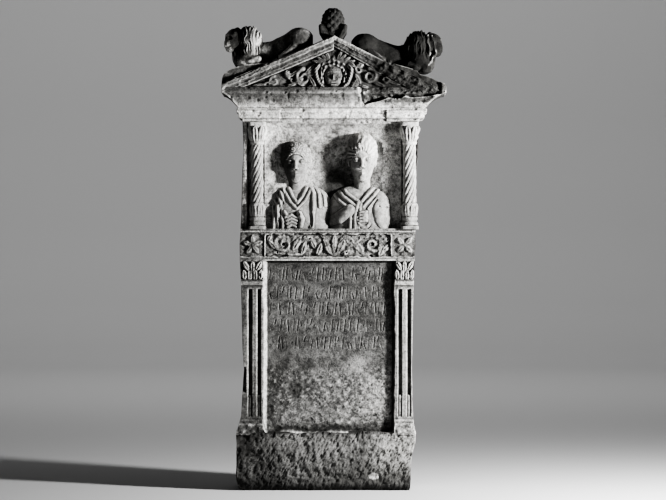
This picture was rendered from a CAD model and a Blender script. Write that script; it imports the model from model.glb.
import math
import bpy
import numpy as np
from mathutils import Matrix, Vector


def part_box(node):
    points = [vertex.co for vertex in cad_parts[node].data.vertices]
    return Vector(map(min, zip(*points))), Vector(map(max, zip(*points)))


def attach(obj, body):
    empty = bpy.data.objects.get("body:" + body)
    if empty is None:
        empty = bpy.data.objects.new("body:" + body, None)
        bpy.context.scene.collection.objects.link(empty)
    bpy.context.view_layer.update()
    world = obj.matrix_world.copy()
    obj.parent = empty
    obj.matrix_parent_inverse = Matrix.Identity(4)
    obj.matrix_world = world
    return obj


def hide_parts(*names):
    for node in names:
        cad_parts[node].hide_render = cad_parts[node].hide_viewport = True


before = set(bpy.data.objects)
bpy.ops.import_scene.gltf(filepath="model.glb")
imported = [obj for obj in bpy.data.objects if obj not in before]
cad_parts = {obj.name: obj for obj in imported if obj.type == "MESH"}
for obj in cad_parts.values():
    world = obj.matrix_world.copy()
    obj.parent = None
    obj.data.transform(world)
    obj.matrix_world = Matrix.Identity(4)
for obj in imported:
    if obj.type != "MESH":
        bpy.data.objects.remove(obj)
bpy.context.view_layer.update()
low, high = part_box("stele")
blockTall = 1940                    # the whole height in the carver's millimetres used below
mm = (high.z - low.z) / blockTall
backY, corniceY, topZ = high.y / mm, low.y / mm, high.z / mm
print("frame loaded")

# The block's planes and levels: y grows from the carved front to the back.
block = {
    "faceY": -80, "fieldY": -56, "friezeY": -66, "tympanumY": -105, "socleY": -102,
    "left": -370, "right": 322, "fieldLeft": -272, "fieldRight": 246,
    "nicheLeft": -282, "nicheRight": 272, "nicheDepth": 70,
    "fieldFoot": 230, "fieldTop": 924, "friezeTop": 1036, "nicheFoot": 1050, "nicheTop": 1478,
    "edgeLevels": (0, 12, 40, 130, 190, 226, 268, 300, 366, 486, 566, 700, 846, 930, 990, 1050,
                   1110, 1202, 1300, 1366, 1420, 1500),
    "leftEdge": (-368, -384, -390, -392, -391, -394, -382, -373, -370, -362, -368, -371, -375,
                 -379, -380, -376, -373, -371, -368, -363, -366, -369),
    "rightEdge": (303, 306, 308, 310, 326, 329, 321, 318, 316, 313, 315, 317, 321, 324, 328, 326,
                  325, 328, 334, 338, 337, 342),
}


# ---- numbers over whole arrays

def smooth(value):                  # 0 below 0, 1 above 1, an S curve between
    value = np.clip(value, 0, 1)
    return value * value * (3 - 2 * value)


def mixed(a, b, share):
    return a + (b - a) * share


def bell(distance, width):          # a rounded hump: one at 0, fading over the width
    return np.exp(-(distance / width) ** 2)


def dome(distance, width):          # half a circle across the width, nothing outside it
    return np.sqrt(np.clip(1 - (distance / width) ** 2, 0, None))


def between(value, first, last, rise, fall=None):   # one from first to last, soft at both ends
    return smooth((value - first) / rise) * smooth((last - value) / (fall or rise))


def spot(x, z, centreX, centreZ, wide, tall=None):  # half a ball or oval round a centre, 0 to 1
    return dome(np.hypot((x - centreX) / wide, (z - centreZ) / (tall or wide)), 1)


def patch(x, z, centreX, centreZ, wide, tall):      # a rounded hump over an oval, 0 to 1
    return bell(np.hypot((x - centreX) / wide, (z - centreZ) / tall), 1)


def lattice(ix, iz, seed):          # a repeatable number from 0 to 1 at each lattice point
    mix = ix.astype(np.uint32) * np.uint32(374761393) + iz.astype(np.uint32) * np.uint32(668265263)
    mix = mix + np.uint32(seed * 2246822519 % 4294967296)
    mix = (mix ^ (mix >> np.uint32(13))) * np.uint32(1274126177)
    mix = (mix ^ (mix >> np.uint32(16))) * np.uint32(2654435769)
    return (mix >> np.uint32(8)).astype(float) / 16777216


def grain(x, z, size, seed):        # smooth value noise of one size, from -1 to 1
    x = np.asarray(x, float) / size + 512
    z = np.asarray(z, float) / size + 512
    ix, iz = np.floor(x), np.floor(z)
    fx, fz = smooth(x - ix), smooth(z - iz)
    ix, iz = ix.astype(np.int64), iz.astype(np.int64)
    lowRow = mixed(lattice(ix, iz, seed), lattice(ix + 1, iz, seed), fx)
    highRow = mixed(lattice(ix, iz + 1, seed), lattice(ix + 1, iz + 1, seed), fx)
    return mixed(lowRow, highRow, fz) * 2 - 1


def roughness(x, z, size, octaves, seed):     # noise of halving sizes and heights added up
    total = 0
    for octave in range(octaves):
        total = total + grain(x, z, size / 2 ** octave, seed + 7 * octave) / 2 ** octave
    return total


def pits(x, z, size, seed, share):  # round hollows in a share of the cells of a jittered grid
    x = np.asarray(x, float) / size + 512
    z = np.asarray(z, float) / size + 512
    ix, iz = np.floor(x).astype(np.int64), np.floor(z).astype(np.int64)
    depth = 0
    for stepX in (-1, 0, 1):
        for stepZ in (-1, 0, 1):
            cx, cz = ix + stepX, iz + stepZ
            centreX = cx + 0.5 + 0.7 * (lattice(cx, cz, seed) - 0.5)
            centreZ = cz + 0.5 + 0.7 * (lattice(cx, cz, seed + 1) - 0.5)
            radius = 0.12 + 0.3 * lattice(cx, cz, seed + 2)
            there = lattice(cx, cz, seed + 3) < share
            away = np.hypot(x - centreX, z - centreZ) / radius
            depth = np.maximum(depth, there * np.clip(1 - away * away, 0, None) * radius)
    return depth / 0.42


def segment(x, z, start, end, width):         # rounded ridge, 0 to 1, along a straight line
    dx, dz = end[0] - start[0], end[1] - start[1]
    along = np.clip(((x - start[0]) * dx + (z - start[1]) * dz) / (dx * dx + dz * dz), 0, 1)
    away = np.hypot(x - start[0] - along * dx, z - start[1] - along * dz)
    return dome(away, width)


def pathRidge(x, z, points, width, thin=None):   # the highest of the ridges along a bent line
    thin = width if thin is None else thin
    count = len(points) - 1
    ridge = 0
    for i in range(count):
        reach = mixed(width, thin, (i + 0.5) / count)
        ridge = np.maximum(ridge, reach * segment(x, z, points[i], points[i + 1], reach))
    return ridge


def fold(x, z, points, width):      # a ridge along a bent line, a fifth thinner at its end
    return pathRidge(x, z, points, width, width * 0.8)


def petal(x, z, centreX, centreZ, length, width, tilt):
    # a leaf: across and along its turned axis, narrowing to both tips, with a cut midrib
    along = (x - centreX) * math.sin(tilt) + (z - centreZ) * math.cos(tilt)
    across = (x - centreX) * math.cos(tilt) - (z - centreZ) * math.sin(tilt)
    half = width * np.clip(1 - (along / length) ** 2, 0.001, None)
    body = np.sqrt(np.clip(1 - (across / half) ** 2, 0, None)) * (np.abs(along) < length)
    return body * (1 - 0.45 * bell(across, width * 0.16))


def spiralPoints(x, z, radius, turns, start, hand, count=22):
    share = np.linspace(0, 1, count)
    angle = start + hand * turns * 2 * math.pi * share
    reach = radius * (1 - 0.78 * share)
    return list(zip(x + reach * np.cos(angle), z + reach * np.sin(angle)))


def highest(shape, x, z, rows):     # the highest of one kind of shape, each row its settings
    top = 0
    for row in rows:
        top = np.maximum(top, shape(x, z, *row))
    return top


def blurred(field, steps):          # a running mean over the neighbours, repeated
    for _ in range(steps):
        padded = np.pad(field, 1, mode="edge")
        field = (padded[:-2, 1:-1] + padded[2:, 1:-1] + padded[1:-1, :-2] + padded[1:-1, 2:]
                 + 2 * field) / 6
    return field


def hollows(height, steps, depth):  # how far a place lies below its surroundings, -1 to 1
    return np.clip((blurred(height, steps) - height) / depth, -1, 1)


def wrapped(radius, steps, depth):  # the same on radii round a form, where the ends meet
    return hollows(np.pad(radius, ((0, 0), (8, 8)), mode="wrap"), steps, depth)[:, 8:-8]


def tones(height, fine, coarse):    # hollows at two sizes, each given as steps and depth
    return np.clip(0.7 * hollows(height, *fine) + 0.7 * hollows(height, *coarse), -1, 1)


def axes(grid):
    return grid[..., 0], grid[..., 1], grid[..., 2]


# ---- meshes

def gridFaces(rows, columns, around):
    # two triangles for each cell of a grid of rows and columns, joined round if it is a ring
    last = columns if around else columns - 1
    row, column = np.meshgrid(np.arange(rows - 1), np.arange(last), indexing="ij")
    right = (column + 1) % columns
    a, b = row * columns + column, row * columns + right
    c, d = a + columns, b + columns
    return np.concatenate([np.stack([a, b, d], -1).reshape(-1, 3),
                           np.stack([a, d, c], -1).reshape(-1, 3)])


def turnedOut(points, faces):       # faces reversed if the signed volume says they point in
    a, b, c = (points[faces[:, i]] for i in range(3))
    volume = np.einsum("ij,ij->i", a, np.cross(b, c)).sum()
    return faces if volume > 0 else faces[:, ::-1]


def tube(grid, recess):
    # a ring of points for each row, closed at both ends by a fan round the ring's middle
    rows, columns, _ = grid.shape
    points = np.concatenate([grid.reshape(-1, 3), grid[:1].mean(1), grid[-1:].mean(1)])
    ring = np.arange(columns)
    following = (ring + 1) % columns
    foot = np.stack([following, ring, np.full(columns, rows * columns)], -1)
    top = (rows - 1) * columns
    head = np.stack([ring + top, following + top, np.full(columns, rows * columns + 1)], -1)
    faces = np.concatenate([gridFaces(rows, columns, True), foot, head])
    tone = np.concatenate([recess.reshape(-1), recess[:1].mean(1), recess[-1:].mean(1)])
    return points, turnedOut(points, faces), tone


def slab(grid, back, recess):
    # a front sheet whose edge is carried straight back to a plane and closed there by a fan
    rows, columns, _ = grid.shape
    number = np.arange(rows * columns).reshape(rows, columns)
    loop = np.concatenate([number[0, :-1], number[:-1, -1], number[-1, :0:-1], number[:0:-1, 0]])
    flat = grid.reshape(-1, 3)
    rim = flat[loop].copy()
    rim[:, 1] = back
    points = np.concatenate([flat, rim, rim.mean(0, keepdims=True)])
    count, first = len(loop), rows * columns
    ring = np.arange(count)
    following = (ring + 1) % count
    wall = np.concatenate([
        np.stack([loop, first + ring, loop[following]], -1),
        np.stack([loop[following], first + ring, first + following], -1),
        np.stack([first + ring, np.full(count, first + count), first + following], -1)])
    faces = np.concatenate([gridFaces(rows, columns, False), wall])
    tone = np.concatenate([recess.reshape(-1), recess.reshape(-1)[loop], np.zeros(1)])
    return points, turnedOut(points, faces), tone


def addPiece(name, parts, material):
    # the closed parts in one mesh, in metres, with their recess values as an attribute
    starts = np.cumsum([0] + [len(points) for points, _, _ in parts])
    points = np.concatenate([points for points, _, _ in parts]) * mm
    faces = np.concatenate([faces + start for (_, faces, _), start in zip(parts, starts)])
    faces = faces.astype(np.int32)
    recess = np.clip(np.concatenate([tone for _, _, tone in parts]), -1, 1)
    mesh = bpy.data.meshes.new(name)
    mesh.vertices.add(len(points))
    mesh.vertices.foreach_set("co", points.astype(np.float32).ravel())
    mesh.loops.add(faces.size)
    mesh.loops.foreach_set("vertex_index", faces.ravel())
    mesh.polygons.add(len(faces))
    mesh.polygons.foreach_set("loop_start", np.arange(0, faces.size, 3, dtype=np.int32))
    mesh.update(calc_edges=True)
    mesh.validate()
    mesh.polygons.foreach_set("use_smooth", np.ones(len(mesh.polygons), dtype=bool))
    attribute = mesh.attributes.new("recess", "FLOAT", "POINT")
    attribute.data.foreach_set("value", recess.astype(np.float32))
    mesh.materials.append(material)
    piece = bpy.data.objects.new(name, mesh)
    bpy.context.scene.collection.objects.link(piece)
    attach(piece, "root")
    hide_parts("stele")
    print(name, len(faces), "triangles")


# ---- shader expressions

class Value:
    # wraps a socket, so that sums and products of values become Math nodes
    def __init__(self, nodes, socket):
        self.nodes = nodes
        self.socket = socket

    def made(self, operation, first, second):
        return self.nodes.add("ShaderNodeMath", {"operation": operation}, (first, second))

    def __add__(self, other):
        return self.made("ADD", self, other)

    def __radd__(self, other):
        return self.made("ADD", other, self)

    def __sub__(self, other):
        return self.made("SUBTRACT", self, other)

    def __rsub__(self, other):
        return self.made("SUBTRACT", other, self)

    def __mul__(self, other):
        return self.made("MULTIPLY", self, other)

    def __rmul__(self, other):
        return self.made("MULTIPLY", other, self)


class Nodes:
    def __init__(self, material):
        self.tree = material.node_tree
        self.tree.nodes.clear()

    def add(self, kind, settings=None, inputs=(), output=0):
        node = self.tree.nodes.new(kind)
        for key, value in (settings or {}).items():
            setattr(node, key, value)
        given = inputs.items() if isinstance(inputs, dict) else enumerate(inputs)
        for key, value in given:
            if isinstance(value, Value):
                self.tree.links.new(value.socket, node.inputs[key])
            else:
                node.inputs[key].default_value = value
        return Value(self, node.outputs[output]) if node.outputs else None

    def ramp(self, factor, stops):
        made = self.add("ShaderNodeValToRGB", None, {"Fac": factor})
        elements = made.socket.node.color_ramp.elements
        elements[0].position, elements[0].color = stops[0][0], (*stops[0][1], 1)
        elements[1].position, elements[1].color = stops[-1][0], (*stops[-1][1], 1)
        for place, colour in stops[1:-1]:
            elements.new(place).color = (*colour, 1)
        return made

    def mixColour(self, share, first, second, blend="MIX"):
        settings = {"data_type": "RGBA", "blend_type": blend}
        return self.add("ShaderNodeMix", settings, {0: share, 6: first, 7: second}, 2)


stone = {
    "pale": (0.97, 0.96, 0.93), "grey": (0.26, 0.255, 0.245), "dirt": (0.016, 0.0155, 0.014),
    "stain": (0.05, 0.049, 0.045), "worn": (0.88, 0.87, 0.84), "roughness": 0.93,
    "specular": 0.35, "mottleScale": 12, "fleckScale": 230, "grainScale": 62, "stainScale": 3.4, "bump": 0.85,
    "levels": ((0.0, 0.08), (0.03, 0.20), (0.10, 0.27), (0.20, 0.22), (0.47, 0.15), (0.485, 0.28),
               (0.545, 0.36), (0.64, 0.60), (0.74, 0.86), (0.768, 0.72), (0.773, 1.0), (0.797, 1.0),
               (0.803, 0.50), (0.82, 0.30), (0.832, 0.24), (0.84, 0.18), (0.87, 0.18), (0.92, 0.13),
               (1.0, 0.08)),
    "flecks": ((0.40, 0.25), (0.50, 0.75), (0.60, 1.0)),
}


def stoneMaterial(name, dirtShare, stainShare, wornShare, mottleShare=1.0):
    # mottled ground, darker at the foot and the top; dirt where recess is high, paler where it
    # is below zero on ridges and edges; large dark stains; fine flecks; two sizes of bump
    material = bpy.data.materials.new(name)
    material.use_nodes = True
    nodes = Nodes(material)
    place = nodes.add("ShaderNodeTexCoord", output=3)

    def noise(scale, detail, rough):
        values = {"Vector": place, "Scale": scale, "Detail": detail, "Roughness": rough}
        return nodes.add("ShaderNodeTexNoise", None, values)

    def limited(value):
        return nodes.add("ShaderNodeClamp", None, (value,))

    mottle = noise(stone["mottleScale"], 10, 0.72)
    grains = noise(stone["grainScale"], 6, 0.75)
    flecks = noise(stone["fleckScale"], 3, 0.7)
    stain = noise(stone["stainScale"], 7, 0.66)
    recess = nodes.add("ShaderNodeAttribute", {"attribute_name": "recess"}, output=2)
    up = nodes.add("ShaderNodeSeparateXYZ", None, (place,), 2)
    level = up * (1 / high.z) + (mottle - 0.5) * 0.035
    stops = [(at, (share, share, share)) for at, share in stone["levels"]]
    tone = (mottle * 0.65 + grains * 0.35) * mottleShare + 0.54 * (1 - mottleShare)
    ground = nodes.ramp(tone, [(0.41, stone["grey"]), (0.57, stone["pale"])])
    ground = nodes.mixColour(1.0, ground, nodes.ramp(level, stops), "MULTIPLY")
    stained = nodes.ramp(stain, [(0.47, (0, 0, 0)), (0.62, (1, 1, 1))])
    ground = nodes.mixColour(stained * stainShare, ground, (*stone["stain"], 1))
    worn = limited(recess * -1.8 * (0.2 + mottle)) * wornShare
    ground = nodes.mixColour(worn, ground, (*stone["worn"], 1))
    dirty = limited(recess * (0.7 + mottle)) * dirtShare
    ground = nodes.mixColour(dirty, ground, (*stone["dirt"], 1))
    fleck = (flecks + grains) * (0.5 * mottleShare) + 0.56 * (1 - mottleShare)
    steps = [(at, (share, share, share)) for at, share in stone["flecks"]]
    speckle = nodes.ramp(fleck, steps)
    ground = nodes.mixColour(1.0, ground, speckle, "MULTIPLY")
    relief = flecks * 0.4 + grains * 0.8
    bump = nodes.add("ShaderNodeBump", None,
                     {"Strength": stone["bump"], "Distance": 6 * mm, "Height": relief})
    nodes.add("ShaderNodeOutputMaterial", None, {0: nodes.add(
        "ShaderNodeBsdfPrincipled", None,
        {"Base Color": ground, "Roughness": stone["roughness"],
         "Specular IOR Level": stone["specular"], "Normal": bump})})
    return material


# dirt, stains and wear, and how strongly the ground is mottled
carvedStone = stoneMaterial("carvedStone", 0.9, 0.5, 0.7)
cleanStone = stoneMaterial("cleanStone", 0.92, 0.12, 0.2, 0.55)
roughStone = stoneMaterial("roughStone", 0.9, 0.75, 0.5, 0.62)
sootStone = stoneMaterial("sootStone", 0.95, 0.6, 0.48, 0.8)
darkStone = stoneMaterial("darkStone", 0.95, 0.85, 0.75)


# ---- camera, floor and light

view = {"distance": 10.0, "frameWidth": 2.664, "centreX": -0.004, "centreZ": 0.966, "sensor": 36}
backdrop = {
    "reach": (0.01, 4, 8, 10.6, 11.6, 12.3, 12.8, 13.0, 13.0),
    "rise": (0, 0, 0, 0, 0.12, 0.5, 1.2, 2.2, 9.0), "grey": 0.6, "roughness": 0.95,
}
lights = {                          # watts, width, place and aim
    "key": (210, 0.3, (2.15, -1.2, 1.36), (0, 0, 1.2)),
    "fill": (12, 3.0, (-2.0, -6.5, 2.2), (0, 0, 1.0)),
    "backdrop": (250, 5.0, (0, 6.0, 7.2), (0, 12.5, 0.6)),
}
worldStrength = 0.04


def addCamera():
    # as far off as a long lens needs for the frame's width, looking level along +Y
    data = bpy.data.cameras.new("camera")
    data.sensor_width = view["sensor"]
    data.lens = view["sensor"] * view["distance"] / view["frameWidth"]
    data.clip_end = 100
    camera = bpy.data.objects.new("camera", data)
    camera.location = (view["centreX"], -view["distance"] + low.y, view["centreZ"])
    camera.rotation_euler = (math.pi / 2, 0, 0)
    bpy.context.scene.collection.objects.link(camera)
    bpy.context.scene.camera = camera


def addFloor():
    # a wide round floor that bends up into a wall all round, turned about the upright axis
    reach = np.array(backdrop["reach"])[:, None]
    rise = np.array(backdrop["rise"])[:, None]
    turn = np.linspace(0, 2 * math.pi, 96, endpoint=False)[None, :]
    grid = np.stack([reach * np.cos(turn), reach * np.sin(turn), rise + 0 * turn], -1)
    faces = gridFaces(*grid.shape[:2], True)
    mesh = bpy.data.meshes.new("floor")
    mesh.from_pydata(grid.reshape(-1, 3).tolist(), [], faces.tolist())
    mesh.polygons.foreach_set("use_smooth", np.ones(len(faces), dtype=bool))
    material = bpy.data.materials.new("floorPaper")
    material.use_nodes = True
    shader = material.node_tree.nodes["Principled BSDF"]
    shader.inputs["Base Color"].default_value = (*[backdrop["grey"]] * 3, 1)
    shader.inputs["Roughness"].default_value = backdrop["roughness"]
    mesh.materials.append(material)
    floor = bpy.data.objects.new("floor", mesh)
    bpy.context.scene.collection.objects.link(floor)


def addLight(name, energy, size, place, target):
    # a round soft lamp turned so that it shines from its place to its target
    data = bpy.data.lights.new(name, "AREA")
    data.energy = energy
    data.shape = "DISK"
    data.size = size
    light = bpy.data.objects.new(name, data)
    light.location = place
    away = np.array(place) - np.array(target)
    light.rotation_euler = (math.acos(away[2] / np.linalg.norm(away)), 0,
                            math.atan2(away[1], away[0]) + math.pi / 2)
    bpy.context.scene.collection.objects.link(light)


addCamera()
addFloor()
for name, settings in lights.items():
    addLight(name, *settings)
world = bpy.data.worlds.new("studio")
world.use_nodes = True
world.node_tree.nodes["Background"].inputs["Color"].default_value = (1, 1, 1, 1)
world.node_tree.nodes["Background"].inputs["Strength"].default_value = worldStrength
bpy.context.scene.world = world
bpy.context.scene.view_settings.look = "AgX - High Contrast"
print("camera and light")


# ---- the block, in rings stacked from the foot to the cornice

def spaced(stops, steps):           # evenly spaced values between stops, at their own steps
    pieces = [np.linspace(a, b, max(2, int(round(abs(b - a) / step)) + 1))[:-1]
              for a, b, step in zip(stops[:-1], stops[1:], steps)]
    return np.concatenate(pieces + [[stops[-1]]])


def sideLines(y, count, backEdge):
    # y from the back to the front's left edge, y from its right edge back, and the sides' wear
    share = np.linspace(1, 0, count)[None, 1:-1]
    return (mixed(y[:, :1], backEdge, share), mixed(y[:, -1:], backEdge, share[:, ::-1]),
            dome(share * 2 - 1, 1.02))


def ringGrid(z, base, *stretches):
    # pairs of x and y joined round the block: left side, front, right side and back; the height
    # of the carving over the base is kept for the front alone
    rowX, rowY = (np.concatenate(parts, 1) for parts in zip(*stretches))
    height = np.concatenate([(base - y) * (i == 1) for i, (_, y) in enumerate(stretches)], 1)
    return np.stack([rowX, rowY, z + 0 * rowX], -1), height


def ringBand(levels, frontX, front, sideCount, backCount, rough=1.6):
    # a ring for each level; the edges follow the block's uneven sides, front(x, z) gives the
    # carved y, and noise dents the sides and the back
    z = levels[:, None]
    left, right = (np.interp(z, block["edgeLevels"], block[side]) for side in ("leftEdge", "rightEdge"))
    x = frontX[None, :] + 0 * z
    nearLeft = smooth(1 - (x - block["left"]) / 70)
    nearRight = smooth(1 - (block["right"] - x) / 70)
    x = x + (left - block["left"]) * nearLeft + (right - block["right"]) * nearRight
    y = front(x, z + 0 * x)
    leftY, rightY, wear = sideLines(y, sideCount, backY)
    leftX = x[:, :1] - wear * rough * roughness(leftY, z, 60, 4, 5)
    rightX = x[:, -1:] + wear * rough * roughness(rightY + 900, z, 60, 4, 6)
    backX = mixed(x[:, -1:], x[:, :1], np.linspace(0, 1, backCount)[None, :])
    backPlane = backY - 2 + rough * (0.9 * roughness(backX, z, 90, 4, 8) - 1.2)
    return ringGrid(z, block["faceY"], (leftX, leftY), (x, y), (rightX, rightY), (backX, backPlane))


socle = {
    "top": 236, "step": 2.9, "rough": 4.5, "foot": 30, "dip": 14, "pickSize": 17, "pickDepth": 5.0,
    "markDepth": 4, "dentSize": 130, "dentDepth": 6, "slopeFrom": 168, "shoulder": 9,
    "chip": (160, 58), "chipDepth": 8,
}


def socleFront(x, z):
    # a rough face: broad dents, slanting pick marks, a chip, a sloping top and a rounded foot
    pick = roughness(x - z * 0.25, z * 0.8 + x * 0.15, socle["pickSize"], 5, 21)
    marks = 1 - np.abs(roughness(x - 0.4 * z, z * 0.5, 10, 3, 24))
    tilted = smooth((z - socle["slopeFrom"] - 16 * grain(x, 0 * x, 60, 25)) / 60)
    y = block["socleY"] - pick * socle["pickDepth"] - marks * socle["markDepth"]
    y = y + roughness(x, z, socle["dentSize"], 3, 22) * socle["dentDepth"]
    y = y + smooth(1 - z / socle["foot"]) ** 2 * socle["dip"] + tilted * socle["shoulder"]
    return y + patch(x, z, *socle["chip"], 26, 12) * socle["chipDepth"]


def addSocle():
    # its top edge rises and falls; dirt at the foot and on the left, wear on the right
    frontX = spaced([block["left"], block["right"]], [socle["step"]])
    grid, height = ringBand(spaced([0, socle["top"]], [socle["step"]]), frontX, socleFront, 60, 70,
                            socle["rough"])
    x, y, z = axes(grid)
    uneven = np.clip(7 * roughness(x, 0 * x, 60, 4, 28) - 3, -12, 6)
    z += smooth((-60 - y) / 30) * smooth((z - 190) / 46) * uneven
    left = smooth((-120 - x) / 200)
    recess = np.maximum(tones(height, (2, 2.2), (12, 7)), 0.9 * smooth(1 - z / (34 + 30 * left)))
    recess += 0.6 * left * (1 + 0.4 * roughness(x, z, 60, 3, 27))
    recess -= 0.5 * smooth((x - 110) / 110) * smooth((z - 40) / 90)
    recess -= 1.6 * spot(x, z, *socle["chip"], 24, 13)
    recess += 0.55 * between(x, block["fieldLeft"], block["fieldRight"], 12) * smooth((z - 222) / 10)
    addPiece("socle", [tube(grid, recess)], roughStone)


pilaster = {
    "sides": ((-370, -286), (246, 322)), "flutes": (-337, -301, 266, 302), "fluteHalf": 8.5,
    "fluteDepth": 12, "foot": 292, "top": 812, "cableTop": 386, "ring": 832,
    "leaves": ((-0.78, 866, 22, -0.1), (-0.26, 864, 24, 0), (0.26, 864, 24, 0), (0.78, 866, 22, 0.1),
               (-0.6, 902, 24, -0.5), (0, 898, 26, 0), (0.6, 902, 24, 0.5)),
}
inscription = {                     # rows: level, start and end; kinds: lean, lower and upper end
    "rows": ((870, -258, 204), (794, -260, 208), (730, -254, 208), (662, -252, 208),
             (592, -226, 196)),
    "kinds": ((2.5, -1, 1), (-2, -1, 0.9), (2.5, 0.15, 1), (3, -1, 1), (-3, -1, -0.1),
              (2, -0.9, 1), (0, -0.1, 0.1), (3, -1, 0.45)),
    "tall": 24, "pitch": 17.5, "halfWidth": 2.1, "depth": 3.2,
}


def flutes(x, z):
    # round channels, filled up to the cable's top with a thinner rod
    cut = 0
    for centre in pilaster["flutes"]:
        rod = dome(x - centre, pilaster["fluteHalf"] - 2.5) * smooth((pilaster["cableTop"] - z) / 6)
        cut = cut + dome(x - centre, pilaster["fluteHalf"]) * pilaster["fluteDepth"] - 8 * rod
    return cut * between(z, pilaster["foot"], pilaster["top"], 8, 9)


def strokes(x, z):
    # separate worn ticks in rows, no two touching: long, half high, half low, and dots
    cut = 0
    tall, pitch = inscription["tall"], inscription["pitch"]
    for row, (middle, start, end) in enumerate(inscription["rows"]):
        for i in range(int((end - start) / pitch) + 1):
            lean, foot, head = inscription["kinds"][(i * 5 + row * 3 + (i * i + row) % 5) % 8]
            centre = start + i * pitch + 3.4 * math.sin(4.3 * i + 2 * row)
            line = segment(x, z, (centre - lean, middle + foot * tall),
                           (centre + lean, middle + head * tall), inscription["halfWidth"])
            cut = np.maximum(cut, line * (0.72 + 0.28 * math.sin(2.3 * i + 1.7 * row)))
    return cut * inscription["depth"]


def fieldFloor(x, z):
    # nearly flat under the strokes, rougher and pitted lower down
    worn = smooth((540 - z) / 120)
    y = block["fieldY"] - roughness(x, z, 70, 4, 33) * mixed(0.9, 2.6, worn)
    y = y - roughness(x, z, 15, 4, 34) * mixed(0.45, 2.1, worn)
    return y + pits(x, z, 14, 36, 0.25) * mixed(0.5, 2.4, worn) + strokes(x, z)


def pilasterFace(x, z, beside):
    # flutes, a lost left edge, a stepped crumbling base, a ring and two rows of upright leaves
    face = block["faceY"] + flutes(x, z) + roughness(x, z, 40, 4, 35) * 0.9
    gone = between(z, 388, 500, 20, 16) * smooth((-352 - x) / 5)
    face = face + gone * (13 + 3 * grain(x, z, 12, 37))
    base = smooth((290 - z) / 12) * 5 + smooth((276 - z) / 14) * 8
    base = base * (1 + 0.35 * roughness(x, z, 26, 3, 39)) * beside * ((x < -268) | (x > 240))
    ring = dome(z - pilaster["ring"], 9) * 7 * (beside > 0.5)
    rows = [((first + last) / 2 + side * (last - first) / 2, level, tall, (last - first) * 0.15, lean)
            for first, last in pilaster["sides"] for side, level, tall, lean in pilaster["leaves"]]
    leaf = highest(petal, x, z, rows) * 12 - 5 + 2.6 * roughness(x, z, 12, 3, 40)
    return face - base - ring - leaf * between(z, 846, 922, 4) * beside


def lowerFront(x, z):
    # the floor is sunk between the pilasters, with a soft uneven reveal all round
    wobble = 3 * grain(z, 0 * z, 90, 31) + 2 * grain(z, 0 * z, 24, 32)
    corner = smooth((270 - z) / 46)
    left = block["fieldLeft"] + wobble + 12 * corner
    right = block["fieldRight"] + wobble - 6 * corner
    bottom = block["fieldFoot"] - 6 + 9 * roughness(x, 0 * z, 50, 3, 38)
    inside = between(x, left - 14, right, 19, 10) * between(z, bottom, block["fieldTop"], 22, 5)
    return mixed(pilasterFace(x, z, 1 - inside), fieldFloor(x, z), inside)


def addLowerShaft():
    # a worn left reveal and a dirty right one, light and dark patches on the floor, dark strokes
    left, right = block["fieldLeft"], block["fieldRight"]
    frontX = spaced([block["left"], left - 18, left + 14, right - 16, right + 6, block["right"]],
                    [2.4, 2.2, 2.35, 2.0, 2.4])
    grid, height = ringBand(spaced([222, 556, 905, 934], [3.7, 2.3, 2.6]), frontX, lowerFront, 22, 26)
    x, _, z = axes(grid)
    recess = tones(height, (3, 2.2), (26, 9))
    sunk = (height < -2) * between(z, 240, 930, 12, 6)
    recess -= 1.1 * sunk * between(x, left - 17, left + 5, 5)
    recess += 0.8 * sunk * between(x, right - 16, right + 6, 8, 4)
    recess += 0.35 * smooth((-200 - x) / 120) * smooth((470 - z) / 200)
    recess -= 0.25 * smooth((x - right - 8) / 6) * (recess < 0.4)
    light = smooth(roughness(x, z, 90, 4, 48) + 0.5) * spot(x, z, 120, 390, 150, 160)
    dark = smooth(roughness(x, z, 50, 4, 49) + 0.1) * spot(x, z, -150, 460, 130, 150)
    tone = 0.7 * dark - 0.35 * light + 0.45 * between(z, 232, 276, 8, 20) + 0.16 * strokes(x, z)
    recess += tone * between(x, left + 20, right - 12, 20, 10)
    addPiece("lowerShaft", [tube(grid, recess)], carvedStone)


frieze = {                          # leaves and drill holes are set from the band's middle line
    "ground": 936, "height": 12.5, "step": 1.8, "scrolls": ((-204, 1), (156, -1)),
    "stems": (((-266, 944), (-240, 956), (-205, 950), (-170, 946), (-132, 950), (-104, 982), (-98, 1010)),
              ((216, 1006), (196, 1022), (150, 1024), (110, 1014), (84, 990), (66, 956)),
              ((-76, 1016), (-52, 1026), (-30, 1004), (-10, 952)),
              ((66, 1012), (46, 1026), (26, 1004), (8, 952))),
    "leaves": ((-150, 6, 34, 15, 0.55), (-122, -12, 30, 13, 0.3), (-86, 10, 30, 14, -0.4),
               (-60, -18, 28, 14, 0.35), (-28, -4, 38, 15, -0.4), (0, 6, 42, 12, 0.05),
               (28, -4, 38, 15, 0.45), (72, 8, 42, 15, -0.85), (104, -14, 30, 13, -0.5),
               (190, -24, 26, 15, 0.35), (212, -10, 28, 13, 0.9), (-250, 2, 24, 12, -0.7),
               (-260, 30, 18, 10, 0.5), (182, 32, 20, 10, 1.2), (122, 34, 18, 9, 1.5),
               (46, -30, 20, 10, 1.2), (-110, 32, 20, 9, 1.3)),
    "drill": ((-204, 3, 7), (156, 3, 7), (148, -46, 8), (-228, -30, 4), (-98, 26, 4), (50, -30, 4),
              (214, 20, 4)),
    "rosettes": ((-328, 5, 0), (284, 4, math.pi / 4)), "rosetteReach": 42,
}


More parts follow.
